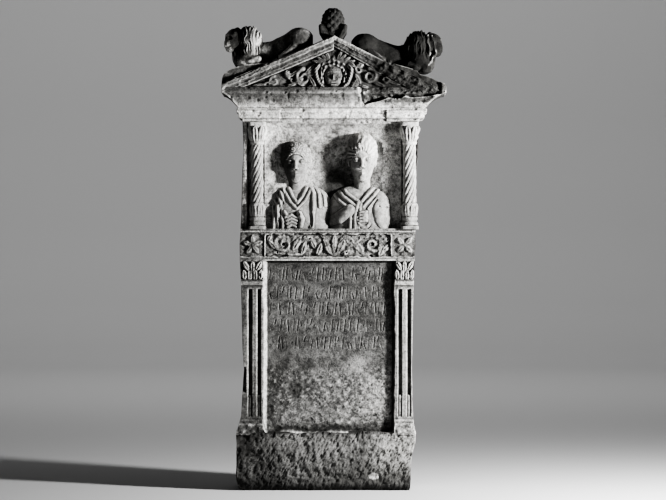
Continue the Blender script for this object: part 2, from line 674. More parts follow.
def rosetteRelief(x, up):
    # petals turned round each centre, and a button
    rosettes, reach = 0, frieze["rosetteReach"]
    for centre, petals, start in frieze["rosettes"]:
        angles = [start + 2 * math.pi * i / petals for i in range(petals)]
        rows = [(centre + 0.52 * reach * math.sin(angle), 0.52 * reach * math.cos(angle),
                 reach * 0.5, reach * 0.28, angle) for angle in angles]
        rosettes = np.maximum(rosettes, highest(petal, x, up, rows))
        rosettes = np.maximum(rosettes, 0.9 * spot(x, up, centre, 0, 9))
    return blurred(rosettes, 3)


def friezeFront(x, z):
    # a sunk ground between two end blocks, with scrolls, stems and leaves left standing
    ground, top, face = frieze["ground"], block["friezeTop"], block["faceY"]
    middle = (top + ground) / 2
    fray = 4 * roughness(x, z, 22, 3, 45)
    inside = between(x, -280 - fray, 232 + fray, 8) * between(z, ground - fray, top - 3 + fray, 8)
    paths = [(spiralPoints(centre, middle + 3, 38, 1.25, math.pi / 2, hand), 8.5, 6)
             for centre, hand in frieze["scrolls"]]
    paths += [(points, 6.5, 5) for points in frieze["stems"]]
    carving = np.maximum(highest(pathRidge, x, z, paths) * 1.35,
                         highest(petal, x, z - middle, frieze["leaves"]) * frieze["height"])
    carving = blurred(carving, 2) * (1 - 0.5 * smooth(roughness(x, z, 44, 3, 44) + 0.3))
    carving = carving - 16 * highest(spot, x, z - middle, frieze["drill"])
    sunk = block["friezeY"] - carving - 3.2 * roughness(x, z, 15, 4, 41)
    ends = face + 8 - 11 * rosetteRelief(x, z - middle) - 3 * roughness(x, z, 20, 4, 42)
    framed = np.minimum(smooth((z - ground + fray) / 9), smooth((top - z + fray) / 9))
    y = mixed(mixed(face, ends, framed), mixed(face, sunk, inside), between(x, -284, 236, 6))
    ledge = face - 9 + 2.2 * roughness(x, z, 30, 4, 43)
    return mixed(y, ledge, smooth((z - top) / 3))


def addFrieze():
    frontX = spaced([block["left"], block["right"]], [frieze["step"]])
    grid, height = ringBand(spaced([930, 1052], [frieze["step"]]), frontX, friezeFront, 20, 24)
    addPiece("friezeBand", [tube(grid, tones(height, (4, 3), (20, 9)))], carvedStone)


def nicheFront(x, z):
    # a hollow, nearly a parabola across, closing to a cove under the architrave; a bay beside it
    # on either side for the columns
    middle = (block["nicheLeft"] + block["nicheRight"]) / 2
    across = (x - middle) / (block["nicheRight"] - middle)
    up = (z - block["nicheFoot"]) / (block["nicheTop"] - block["nicheFoot"])
    bow = np.clip(1 - (across / 1.02) ** 2, 0, 1) * dome(np.clip((up - 0.72) / 0.28, 0, 1), 1)
    depth = mixed(10, block["nicheDepth"], bow) * (np.abs(across) < 1)
    bay = smooth((x + 352) / 6) * (across <= -1) + smooth((336 - x) / 4) * (across >= 1)
    y = block["faceY"] + np.maximum(depth, 25 * bay) - 2.4 * roughness(x, z, 60, 4, 51)
    return y + 1.6 * pits(x, z, 30, 52, 0.3)


def addNiche():
    # darkened by old dirt between the heads and at the right
    left, right = block["nicheLeft"], block["nicheRight"]
    frontX = spaced([block["left"], left - 3, left + 40, right - 40, right + 3, block["right"]],
                    [4, 2.5, 5, 2.5, 4])
    grid, height = ringBand(spaced([1048, 1482], [5.2]), frontX, nicheFront, 22, 26)
    x, _, z = axes(grid)
    patina = 0.4 + 0.8 * smooth((roughness(x, z, 120, 4, 53) + 0.5) / 0.9)
    place = bell(x - 12, 70) * smooth((1360 - z) / 120) + 1.1 * bell(x - 226, 56)
    recess = np.clip(patina * place * (height < -40), 0, 1) + 0.5 * hollows(height, 3, 2)
    addPiece("niche", [tube(grid, recess)], carvedStone)


cornice = {                         # rows: level and share of the way out to the edge
    "rows": ((1478, 0.0), (1490, 0.03), (1494, 0.02), (1497, 0.19), (1500, 0.21), (1517, 0.21),
             (1520, 0.30), (1534, 0.30), (1537, 0.20), (1550, 0.33), (1560, 0.44), (1572, 0.57),
             (1582, 0.70), (1590, 0.84), (1594, 0.95), (1597, 0.99), (1618, 1.0)),
    "left": (-366, -450), "right": (340, 449), "blocks": (-214, 208),
    "broken": ((96, 1640), (112, 1566), (124, 1546), (152, 1560), (204, 1573), (264, 1577),
               (360, 1581), (424, 1586), (450, 1600)),
}


def lineAt(value, points):          # the height of a bent line given by its points
    return np.interp(value, *zip(*points))


def corniceFront(x, z):
    # the stepped profile, forward blocks over the capitals, chips, and the broken right edge
    y = mixed(block["faceY"], corniceY, lineAt(z, cornice["rows"])) + 5 * smooth((z - 1600) / 14)
    first, last = cornice["blocks"]
    blocks = smooth((first - x) / 4) + smooth((x - last) / 4)
    y = y - 9 * blocks * between(z, 1482, 1530, 3, 5)
    y = y + 1.4 * roughness(x, z, 34, 4, 61) + 4.5 * pits(x, z, 24, 62, 0.28)
    y = y + 7 * smooth((roughness(x, z, 46, 4, 63) - 0.75) / 0.5) * smooth((z - 1534) / 8)
    broken = lineAt(x, cornice["broken"]) + 5 * grain(x, 0 * x, 22, 67)
    gone = smooth((z - broken) / 5) * between(x, 92 + 8 * grain(z, 0 * z, 12, 68), 446, 12, 10)
    return np.minimum(y + gone * (22 + 9 * roughness(x, z, 30, 4, 64)), block["faceY"] + 30)


def addEntablature():
    # the profile grows outwards on three sides from the shaft to the cornice's edge
    z = spaced([1476, 1618], [2.2])[:, None]
    grow = lineAt(z, cornice["rows"])
    left, right = mixed(*cornice["left"], grow), mixed(*cornice["right"], grow)
    frontX = spaced([block["left"], block["right"]], [2.6])[None, :]
    x = mixed(left, right, (frontX - block["left"]) / (block["right"] - block["left"]))
    y = corniceFront(x, z + 0 * x)
    leftY, rightY, wear = sideLines(y, 34, backY - 3)
    leftX = left + 2.4 * wear * roughness(leftY, z, 40, 4, 65)
    rightX = right - 2.4 * wear * roughness(rightY, z, 40, 4, 66)
    backX = mixed(right, left, np.linspace(0, 1, 30)[None, :])
    grid, height = ringGrid(z, 0, (leftX, leftY), (x, y), (rightX, rightY), (backX, backY - 3 + 0 * backX))
    x, y, z = axes(grid)
    recess = tones(height, (4, 3), (24, 14))
    recess += 0.6 * smooth((y - corniceY - 14) / 8) * smooth((z - 1556) / 6) * (x > 96)
    recess += 0.4 * smooth((-90 - x) / 140) * smooth((z - 1548) / 24)
    recess -= 0.45 * between(z, 1498, 1536, 4) * (recess < 0.3)
    addPiece("entablature", [tube(grid, recess)], carvedStone)


# ---- forms in the round

def span(x, y, z, centre):          # how far points lie from a centre
    return np.sqrt((x - centre[0]) ** 2 + (y - centre[1]) ** 2 + (z - centre[2]) ** 2)


def egg(x, y, z, centre, radii):    # nearly the distance to an ellipsoid, below zero inside it
    dx, dy, dz = ((value - middle) / radius
                  for value, middle, radius in zip((x, y, z), centre, radii))
    near = np.sqrt(dx * dx + dy * dy + dz * dz) + 1e-6
    steep = np.sqrt((dx / radii[0]) ** 2 + (dy / radii[1]) ** 2 + (dz / radii[2]) ** 2) + 1e-6
    return near * (near - 1) / steep


def limb(x, y, z, start, end, thick, thin=None):   # distance to a rounded, tapering rod
    thin = thick if thin is None else thin
    dx, dy, dz = (b - a for a, b in zip(start, end))
    along = ((x - start[0]) * dx + (y - start[1]) * dy + (z - start[2]) * dz)
    along = np.clip(along / (dx * dx + dy * dy + dz * dz), 0, 1)
    away = np.sqrt((x - start[0] - along * dx) ** 2 + (y - start[1] - along * dy) ** 2
                   + (z - start[2] - along * dz) ** 2)
    return away - mixed(thick, thin, along)


def melt(first, second, width):     # the nearer of two distances, blended where they meet
    share = np.clip(0.5 + 0.5 * (second - first) / width, 0, 1)
    return mixed(second, first, share) - width * share * (1 - share)


def hollow(first, second, width):   # the first form with the second one scooped out
    return -melt(-first, second, width)


def rayForm(field, spine, stations, count, reach, upright):
    # at each station along the spine rays leave it all round and stop at the outermost skin
    fine = np.linspace(stations[0], stations[1], 500)
    a, b = spine(fine)
    there = field(a, b, fine) if upright else field(fine, a, b)
    solid = fine[there < -0.5]
    share = np.linspace(0, 1, stations[2])
    share = 0.6 * share + 0.2 * (1 - np.cos(math.pi * share))
    place = mixed(solid[0], solid[-1], share)[:, None]
    angle = np.linspace(0, 2 * math.pi, count, endpoint=False)[None, :]
    front = -math.pi / 2 if upright else math.pi
    angle = angle - 0.45 * np.sin(angle - front)
    a, b = spine(place)
    radius = reach + 0 * (place + angle)
    for _ in range(46):
        first, second = a + radius * np.cos(angle), b + radius * np.sin(angle)
        whole = place + 0 * radius
        gap = field(first, second, whole) if upright else field(whole, first, second)
        radius = np.clip(radius - 0.8 * gap, 1.2, reach)
    first, second = a + radius * np.cos(angle), b + radius * np.sin(angle)
    grid = np.stack((first, second, whole) if upright else (whole, first, second), -1)
    return grid, wrapped(radius, 7, 4)


def weathered(x, y, z, size, seed): # a little unevenness in three directions
    return (roughness(x + 0.6 * y, z, size, 3, seed) + roughness(y - 0.5 * x, z, size, 3, seed + 40)) / 2


# ---- gable

rake = {                            # height on the middle line and rise across, for each slope
    "left": {"outer": (1826, 0.43), "inner": (1770, 0.417)},
    "right": {"outer": (1826, -0.51), "inner": (1781, -0.56)},
}
bedding = {
    "left": ((-450, 1640), (-446, 1668), (-414, 1694), (-352, 1710), (-262, 1718), (-240, 1706),
             (-200, 1500)),
    "right": ((200, 1500), (228, 1700), (240, 1714), (330, 1688), (344, 1670), (384, 1658),
              (416, 1642), (446, 1630), (450, 1612)),
}


def slope(line, side, x):
    height, fall = rake[side][line]
    return height + fall * x


def roofLine(x):                    # the gable's outer edge
    return np.minimum(slope("outer", "left", x), slope("outer", "right", x))


def bedLine(x):                     # the slabs that the lions lie on
    return lineAt(x, bedding["left"]) * (x < 0) + lineAt(x, bedding["right"]) * (x >= 0)


medusa = {                          # the snake's points are set from the middle of the face
    "x": -2, "z": 1660, "halfWidth": 37, "halfHeight": 49, "height": 20, "feathers": 4,
    "snake": ((60, 46), (72, 28), (68, 4), (58, -22), (40, -44), (16, -58), (-8, -62), (-22, -54)),
}


def medusaFace(u, v, away):
    # an oval with brows, lidded eyes, broad nose and parted lips; u and v are shares of its size
    side = np.abs(u)
    nose = bell(u, 0.08 + 0.26 * np.clip(0.15 - v, 0, 1)) * between(v, -0.30, 0.30, 0.07, 0.25)
    brow = bell(v - 0.40 + 0.7 * (side - 0.40) ** 2, 0.06) * between(side, 0.08, 0.80, 0.1, 0.2)
    eyeAway = np.hypot((side - 0.40) / 0.26, (v - 0.15) / 0.14)
    lips = (bell(v + 0.455, 0.05) + bell(v + 0.61, 0.06)) * smooth((0.36 - side) / 0.14)
    mouth = bell(v + 0.535, 0.034) * smooth((0.36 - side) / 0.1)
    features = 8 * nose + 3 * brow + 6 * dome(eyeAway, 1) + 3 * bell(eyeAway - 1, 0.22)
    features = features - 11 * patch(side, v, 0.40, 0.14, 0.34, 0.23) + 5 * lips - 7 * mouth
    features = features + 4 * patch(u, v, 0, -0.85, 0.3, 0.15) + 4 * patch(side, v, 0.5, -0.22, 0.28, 0.26)
    return dome(away, 1.0) ** 0.75 * medusa["height"] + smooth((1 - away) / 0.15) * features


def medusaRelief(x, z):
    # the face in waving locks, small wings above and two snakes knotted under the chin
    right, up = x - medusa["x"], z - medusa["z"]
    u, v = right / medusa["halfWidth"], up / medusa["halfHeight"]
    away = np.hypot(u * (1 + 0.22 * np.clip(-v, 0, 1)), v)
    turn, reach = np.arctan2(right, up), np.hypot(u, v)
    waving = reach * 17 + 1.7 * np.sin(np.abs(turn) * 5.5) + 1.9 * grain(x, z, 13, 81)
    lock = np.cos(waving) * (0.7 + 0.5 * grain(x, z, 17, 82)) + 0.45 * np.cos(turn * 19)
    hair = between(reach, 1.04 - 0.24 * bell(turn, 0.8), 1.76 + 0.10 * np.cos(turn * 9), 0.09, 0.36)
    hair = hair * smooth((2.3 - np.abs(turn)) / 0.3) * (13 + 6 * lock)
    wings, snakes = 0, 0
    for hand in (-1, 1):
        feathers = [(hand * (24 + 12 * i), 86 - 9 * i, 30, 9, hand * (0.45 + 0.28 * i))
                    for i in range(medusa["feathers"])]
        wings = np.maximum(wings, highest(petal, right, up, feathers))
        body = [(hand * a, b) for a, b in medusa["snake"]]
        scales = 1 + 0.12 * np.cos((x * hand + z) / 2.1)
        snakes = np.maximum(snakes, pathRidge(right, up, body, 9.5, 7.5) * scales)
    top = np.maximum(np.maximum(medusaFace(u, v, away), hair), np.maximum(wings * 15, snakes * 2.4))
    return top - 7 * bell(away - 1.08, 0.05) * (snakes < 0.1) * (np.abs(turn) > 0.9)


acanthus = {                        # centre, size and turn of each stem, leaf, fan and drill hole
    "stems": ((-122, 1660, 33, 1.2, 1, 10), (-240, 1644, 20, 1.1, 1, 8), (-166, 1648, 18, 1.0, -1, 7),
              (142, 1664, 31, 1.2, -1, 10), (206, 1652, 21, 1.1, -1, 8), (100, 1690, 17, 1.0, 1, 7)),
    "leaves": ((-86, 1640, 32, 12, -0.5), (-96, 1692, 30, 11, 0.8), (-150, 1680, 26, 10, 1.1),
               (-178, 1626, 30, 9, 1.35), (-262, 1636, 32, 9, 1.3), (-304, 1628, 28, 7, 1.45),
               (-92, 1622, 26, 9, 1.2), (84, 1632, 32, 12, 0.5), (96, 1652, 26, 10, -0.5),
               (172, 1684, 26, 10, -1.1), (178, 1632, 30, 10, -1.2), (240, 1638, 34, 10, -1.3),
               (286, 1630, 28, 8, -1.4), (70, 1712, 24, 9, -0.9), (120, 1622, 26, 8, -1.3)),
    "fans": ((-148, 1634, 34, 0.9), (-196, 1664, 28, 1.2), (-90, 1664, 28, -0.2),
             (94, 1622, 30, -0.9), (168, 1650, 32, -1.0), (112, 1700, 26, -0.6),
             (226, 1664, 24, -1.3)),
    "lobes": (-0.9, -0.45, 0, 0.45, 0.9),
    "drill": ((-116, 1654, 8), (-268, 1628, 6), (-192, 1628, 6), (-112, 1614, 5),
              (206, 1650, 6), (142, 1662, 7), (-160, 1662, 4), (112, 1668, 4)),
}


def leafFan(x, z, centreX, centreZ, size, tilt):    # lobes spread round one foot
    turns = [(tilt + lobe, abs(lobe)) for lobe in acanthus["lobes"]]
    return highest(petal, x, z, [
        (centreX + 0.45 * size * math.sin(turn), centreZ + 0.45 * size * math.cos(turn),
         size * (0.62 - 0.14 * spread), size * 0.24, turn) for turn, spread in turns])


def acanthusRelief(x, z):
    # spiral stems, leaves fanned off them, and deep round drill holes
    paths = [(spiralPoints(cx, cz, radius, turns, math.pi / 2, hand), thick, thick * 0.6)
             for cx, cz, radius, turns, hand, thick in acanthus["stems"]]
    leaves = np.maximum(highest(petal, x, z, acanthus["leaves"]), highest(leafFan, x, z, acanthus["fans"]))
    carving = np.maximum(highest(pathRidge, x, z, paths) * 1.8, leaves * 16)
    return carving - 17 * highest(spot, x, z, acanthus["drill"])


gable = {"foot": 1594, "bands": (0.47, 0.83), "step": 7, "groove": 6, "hurtFrom": 130}


def gableFront(x, z):
    # the sunk triangle with its carving, framed by three stepped fillets under each slope
    outer = roofLine(x)
    inner = np.where(x < 0, slope("inner", "left", x), slope("inner", "right", x))
    share = (outer - z) / np.maximum(outer - inner, 8)
    share = share + 0.045 * roughness(x, z, 24, 3, 75) * smooth(share / 0.1) * smooth((0.95 - share) / 0.1)
    gone = between(x, 104, 444, 12, 10)
    relief = np.maximum(medusaRelief(x, z), acanthusRelief(x, z))
    relief = blurred(relief, 2) * (1 - 0.25 * smooth(roughness(x, z, 50, 3, 70)))
    ground = block["tympanumY"] - np.clip(relief, -16, 34) * smooth((share - 0.95) / 0.12)
    apron = smooth((1634 - z + 5 * grain(x, 0 * x, 40, 80)) / 34) * (1 - gone)
    ground = np.minimum(ground, mixed(block["tympanumY"], corniceY + 3, apron))
    ground = ground + 1.6 * roughness(x, z, 26, 4, 71)
    frameY, grooves = corniceY + 1, 7 * bell(share - 0.03, 0.035)
    for band in gable["bands"]:
        frameY = frameY + gable["step"] * smooth((share - band) / 0.09)
        grooves = grooves + gable["groove"] * bell(share - band, 0.05)
    hurt = smooth((x - gable["hurtFrom"]) / 50)
    frameY = frameY + grooves * (1 - 0.5 * hurt) + 3.2 * roughness(x, z, 20, 4, 72)
    frameY = frameY + hurt * np.abs(7 + 8 * roughness(x, z, 34, 4, 73))
    y = mixed(frameY, ground, smooth((share - 0.97) / 0.06))
    slabY = corniceY + 15 + 3.5 * roughness(x, z, 36, 4, 74)
    y = mixed(y, slabY, smooth(-share / 0.05))
    y = y + 9 * smooth((gable["foot"] + 10 - z) / 10)
    return mixed(y, corniceY + 2 + roughness(x, z, 20, 3, 76), smooth((x - 424) / 8))


def addGable():
    # the front, then the roof from the slabs down to the rear edge, then the back
    x = spaced([-450, -110, 110, 450], [2.9, 1.8, 2.9])[:, None]
    roof = roofLine(x)
    top = np.maximum(roof, bedLine(x))
    z = mixed(gable["foot"], top, np.linspace(0, 1, 112)[None, :])
    y = gableFront(x + 0 * z, z)
    y[:, -1] += 4
    back = np.linspace(0, 1, 30)[None, 1:]
    roofY = mixed(y[:, -1:], backY - 4, back)
    roofZ = mixed(top, roof, smooth((roofY - 52) / 14)) + 1.6 * roughness(x, roofY, 40, 4, 77)
    roofZ = np.where(back > 0.97, roof, roofZ)
    backZ = mixed(roof, gable["foot"], np.linspace(0, 1, 14)[None, 1:])
    backSkin = backY - 4 + 1.6 * roughness(x, backZ, 60, 4, 78)
    rowY = np.concatenate([y, roofY, backSkin], 1)
    height = np.concatenate([-y, 0 * roofY, 0 * backSkin], 1)
    grid = np.stack([x + 0 * rowY, rowY, np.concatenate([z, roofZ, backZ], 1)], -1)
    recess = tones(height, (4, 3), (22, 12))
    x, _, z = axes(grid)
    recess -= 0.28 * between(roofLine(x) - z, 3, 30, 4, 6) * (x < 60)
    damp = 0.55 + 0.45 * smooth((roughness(x, z, 50, 4, 79) + 0.6) / 0.9)
    recess += 0.95 * damp * between(x, 120, 440, 60, 8)
    addPiece("gable", [tube(grid, recess)], sootStone)


# ---- twisted columns

columns = {                         # profile: level and share of the shaft's radius
    "places": ((-310, 26), (304, 27)), "y": -72, "foot": 1049, "sheath": 1152, "neck": 1394,
    "top": 1480, "flutes": 9, "turn": 4.9,
    "profile": ((1049, 1.34), (1062, 1.34), (1064, 1.2), (1070, 1.3), (1076, 1.2), (1080, 1.08),
                (1084, 1.08), (1090, 1.2), (1096, 1.16), (1100, 1.04), (1104, 1.06), (1150, 1.12),
                (1156, 1.0), (1390, 0.94), (1394, 1.08), (1400, 1.08), (1406, 0.94),
                (1440, 1.06), (1462, 1.3), (1466, 1.34), (1480, 1.36)),
}


def leafRow(angle, z, first, last, turn, lift):     # eight pointed leaves with cut midribs
    share = np.clip((z - first) / (last - first), 0, 1)
    across = np.abs((angle + turn) * 8 / (2 * math.pi) % 1 - 0.5) * 2
    leaf = smooth((1 - across - 0.75 * share ** 3) / 0.25) * (1 - 0.5 * bell(across, 0.16))
    return leaf * lift * np.sin(math.pi * share * 0.8 + 0.3) * (z > first) * (z < last)


def columnRadius(angle, z, radius):
    # rings at the foot, upright leaves, twisted flutes, then a flaring bell of two leaf rows
    sheath, neck = columns["sheath"], columns["neck"]
    twist = columns["turn"] * (z - sheath) / (neck - sheath)
    channel = np.abs(np.sin((angle - twist) * columns["flutes"] / 2)) ** 0.7
    shape = radius * lineAt(z, columns["profile"])
    shape = shape * (1 - 0.17 * (1 - channel) * between(z, sheath, neck - 4, 8, 6))
    shape = shape + leafRow(angle, z, 1102, 1154, 0, 5)
    shape = shape + np.maximum(leafRow(angle, z, 1404, 1440, 0.2, 9), leafRow(angle, z, 1422, 1466, 0.6, 11))
    square = np.minimum(1.28, 1 / np.maximum(np.abs(np.cos(angle)), np.abs(np.sin(angle))))
    flat = np.maximum(smooth((z - 1462) / 5), smooth((1063 - z) / 2))
    return shape * mixed(1, square, 0.8 * flat)


def addColumns():
    parts = []
    for seed, (x, radius) in enumerate(columns["places"]):
        z = spaced([columns["foot"], 1104, 1394, columns["top"]], [2.0, 2.5, 1.7])[:, None]
        angle = np.linspace(0, 2 * math.pi, 96, endpoint=False)[None, :]
        reach = columnRadius(angle, z, radius) - 1.2 * roughness(angle * 30, z, 16, 3, 81 + seed)
        grid = np.stack([x + reach * np.cos(angle), columns["y"] + reach * np.sin(angle),
                         z + 0 * reach], -1)
        parts.append(tube(grid, 1.2 * wrapped(reach, 6, 2.6)))
    addPiece("twistedColumns", parts, cleanStone)


# ---- the two busts

folk = {
    "man": {"x": -154, "y": -34, "z": 1316, "width": 119, "height": 166, "patina": 0.95, "dust": 0.32},
    "woman": {"x": 114, "y": -34, "z": 1324, "width": 116, "height": 172, "patina": 0.6, "dust": 0},
}


# Each row: how it is joined, its form, mirrored or not, then places, sizes and the blend, all in
# shares of the head's width, width and height.
underLids = {
    "neck": (melt, limb, False, (0, 0.06, -0.3), (0, 0.26, -0.82), 0.27, 0.31, 0.1),
    "cheeks": (melt, egg, True, (0.22, -0.30, -0.09), (0.15, 0.13, 0.12), 0.10),
    "brows": (melt, limb, True, (0.05, -0.475, 0.105), (0.31, -0.385, 0.100), 0.045, 0.035, 0.07),
    "sockets": (hollow, egg, True, (0.20, -0.56, 0.030), (0.14, 0.165, 0.066), 0.05),
}
overLids = {
    "nose": (melt, limb, False, (0, -0.465, 0.080), (0, -0.575, -0.110), 0.040, 0.060, 0.045),
    "nostrils": (melt, egg, True, (0.060, -0.50, -0.138), (0.045, 0.06, 0.030), 0.03),
    "upperLip": (melt, limb, True, (0, -0.462, -0.226), (0.14, -0.395, -0.250), 0.036, 0.016, 0.03),
    "lowerLip": (melt, limb, True, (0, -0.452, -0.290), (0.11, -0.395, -0.272), 0.042, 0.018, 0.03),
    "mouth": (hollow, limb, True, (0, -0.520, -0.257), (0.15, -0.43, -0.261), 0.014, 0.012),
    "chin": (melt, egg, False, (0, -0.37, -0.40), (0.13, 0.10, 0.075), 0.09),
    "ears": (melt, egg, True, (0.455, 0.02, -0.01), (0.05, 0.11, 0.115), 0.03),
}


def shares(head):                   # turns shares of a head's width, width and height into lengths
    return lambda x, y, z: (x * head["width"], y * head["width"], z * head["height"])


def withFeatures(form, x, y, z, head, rows):
    # every row of a table melted on or scooped out in turn
    at = shares(head)
    for joined, shape, mirrored, *settings, blend in rows.values():
        sized = [at(*value) if isinstance(value, tuple) else value * head["width"]
                 for value in settings]
        part = shape(np.abs(x) if mirrored else x, y, z, *sized)
        form = joined(form, part, blend * head["width"])
    return form


def faceField(x, y, z, head):
    # skull and jaw blended, then the features, with lidded eyes set in before the nose
    w, h = head["width"], head["height"]
    at = shares(head)
    side = np.abs(x)
    form = melt(egg(x, y, z, at(0, 0.06, 0.10), at(0.47, 0.58, 0.385)),
                egg(x, y, z, at(0, -0.05, -0.15), at(0.37, 0.42, 0.335)), 0.14 * w)
    form = withFeatures(form, x, y, z, head, underLids)
    opening = spot(side, z, 0.20 * w, 0.022 * h, 0.105 * w, 0.024 * h)
    lid = 0.022 * w * (1 - smooth(opening * 3))
    form = melt(form, span(side, y, z, at(0.20, -0.375, 0.024)) - 0.094 * w - lid, 0.014 * w)
    return withFeatures(form, x, y, z, head, overLids)


def curlPattern(along, up, size, seed):
    # rows of round curls, each a small snail of hair
    row = np.floor(up / size)
    shifted = along / size + 0.5 * (row % 2)
    cell = np.floor(shifted)
    dx = shifted - cell - 0.5
    dz = up / size - row - 0.5
    turn = np.arctan2(dz, dx)
    away = np.hypot(dx, dz)
    hand = np.where(lattice(cell.astype(np.int64) + 900, row.astype(np.int64) + 900, seed) > 0.5, 1, -1)
    return dome(away, 0.62) * (0.72 + 0.28 * np.cos(away * 17 + hand * turn))


def manField(x, y, z, head):
    # the face with a cap of short curls, open over the face and lower behind the ears
    w, h = head["width"], head["height"]
    at = shares(head)
    turn = np.arctan2(x, -(y - 0.06 * w))
    curls = curlPattern(turn * 0.5 * w, z, 0.185 * w, 91)
    cap = egg(x, y, z, at(0, 0.07, 0.14), at(0.515, 0.61, 0.385)) - 0.045 * w * curls
    cap = hollow(cap, egg(x, y, z, at(0, -0.55, -0.18), at(0.40, 0.46, 0.40)), 0.03 * w)
    cap = np.maximum(cap, (-0.22 * h - z + 0.2 * h * bell(turn, 1.6)) * 0.8)
    return melt(faceField(x, y, z, head), cap, 0.02 * w)


def womanField(x, y, z, head):
    # the face framed by full hair combed back in strands that fan out from the brow, with a
    # small roll over one temple
    w, h = head["width"], head["height"]
    at = shares(head)
    turn = np.arctan2(x, -(y - 0.06 * w))
    fan = np.arctan2(x, z - 0.06 * h)
    away = np.hypot(x, z - 0.06 * h)
    comb = roughness(fan * 50, away * 0.22, 8, 2, 93) + 0.5 * np.cos(fan * 22 + 1.5 * np.sin(away / 8))
    nape = roughness(turn * 60, z * 0.2, 8, 2, 94)
    comb = mixed(nape, comb, smooth((z + 0.02 * h) / (0.1 * h)))
    full = egg(x, y, z, at(0.01, 0.10, 0.20), at(0.545, 0.62, 0.485))
    full = full - 0.02 * w * comb
    opening = egg(x, y, z, at(0, -0.60, -0.22), at(0.385, 0.46, 0.47))
    full = hollow(full, opening, 0.04 * w)
    full = np.maximum(full, (-0.24 * h - z + 0.1 * h * bell(turn, 1.6)) * 0.8)
    knot = limb(x, y, z, at(-0.30, -0.34, 0.30), at(-0.10, -0.44, 0.36),
                0.07 * w, 0.09 * w)
    knot = knot - 0.012 * w * np.cos(x / 2.2)
    return melt(faceField(x, y, z, head), melt(full, knot, 0.02 * w), 0.015 * w)


def addHeads():
    # each head is shaded on its left by old dirt
    parts = []
    for name, field, seed in (("man", manField, 101), ("woman", womanField, 105)):
        head = folk[name]
        middle, width, height = head["x"], head["width"], head["height"]

        def placed(x, y, z):
            form = field(x - middle, y - head["y"], z - head["z"], head)
            return form + 0.5 * weathered(x, y, z, 9, seed)

        def spine(z):
            return middle + 0 * z, head["y"] + 0.06 * width + 0 * z

        stations = (head["z"] - 0.78 * height, head["z"] + 0.8 * height, 176)
        grid, recess = rayForm(placed, spine, stations, 184, 110, True)
        shade = smooth((middle + 0.02 * width - grid[..., 0]) / (0.36 * width))
        parts.append(tube(grid, recess * 1.2 + head["patina"] * shade + head["dust"]))
    addPiece("heads", parts, cleanStone)


drapery = {                         # bent lines and widths, in the block's own millimetres
    "man": ((((-206, 1236), (-214, 1170), (-232, 1118), (-242, 1054)), 13),
            (((-190, 1234), (-168, 1184), (-148, 1156)), 8),
            (((-104, 1234), (-128, 1184), (-148, 1156)), 8),
            (((-206, 1214), (-176, 1160), (-150, 1132)), 7),
            (((-88, 1222), (-118, 1164), (-150, 1132)), 7),
            (((-98, 1236), (-82, 1196), (-82, 1130), (-88, 1060)), 10),
            (((-78, 1234), (-60, 1196), (-56, 1140)), 9),
            (((-60, 1228), (-38, 1190), (-34, 1146)), 9),
            (((-40, 1214), (-20, 1180), (-18, 1150)), 8),
            (((-222, 1110), (-206, 1082), (-206, 1056)), 8),
            (((-200, 1120), (-186, 1100), (-186, 1060)), 8)),
    "woman": ((((26, 1228), (52, 1196), (84, 1172), (104, 1160)), 8),
              (((8, 1222), (36, 1184), (70, 1156), (98, 1138)), 8),
              (((-8, 1204), (20, 1166), (50, 1140)), 8),
              (((166, 1226), (138, 1196), (112, 1164)), 9),
              (((190, 1222), (160, 1186), (116, 1140)), 8),
              (((206, 1204), (170, 1168), (140, 1132)), 8),
              (((98, 1160), (84, 1110), (84, 1052)), 9),
              (((108, 1150), (100, 1100), (100, 1052)), 7),
              (((60, 1128), (66, 1090), (64, 1052)), 9)),
}


def manFolds(x, z):
    # slanting pleats on one shoulder, hanging folds below, a doubled V at the neck, cloak edges,
    # and a hand closed round a scroll
    pleats = 6 * np.cos((0.907 * x + 0.419 * z) * 2 * math.pi / 17)
    pleats = pleats * smooth((-196 - x) / 8) * smooth((z - 1146) / 10)
    hanging = 6.5 * np.cos((x + 3 * np.sin(z / 30)) * 2 * math.pi / 19)
    hanging = hanging * smooth((1152 - z) / 10) * smooth((-206 - x) / 8)
    fingers = [(((-196 + 3 * i, 1098 - 13 * i), (-172, 1106 - 13 * i), (-148 - 2 * i, 1096 - 12 * i)),
                7.5, 6) for i in range(4)]
    hand = np.maximum(highest(pathRidge, x, z, fingers) * 1.6,
                      pathRidge(x, z, ((-140, 1112), (-128, 1090), (-134, 1064)), 13, 11) * 1.4)
    carving = pleats + hanging + np.maximum(highest(fold, x, z, drapery["man"]) * 1.3, hand)
    return carving - 10 * spot(x, z, -150, 1110, 15, 10) - 12 * spot(x, z, -90, 1086, 7, 30)


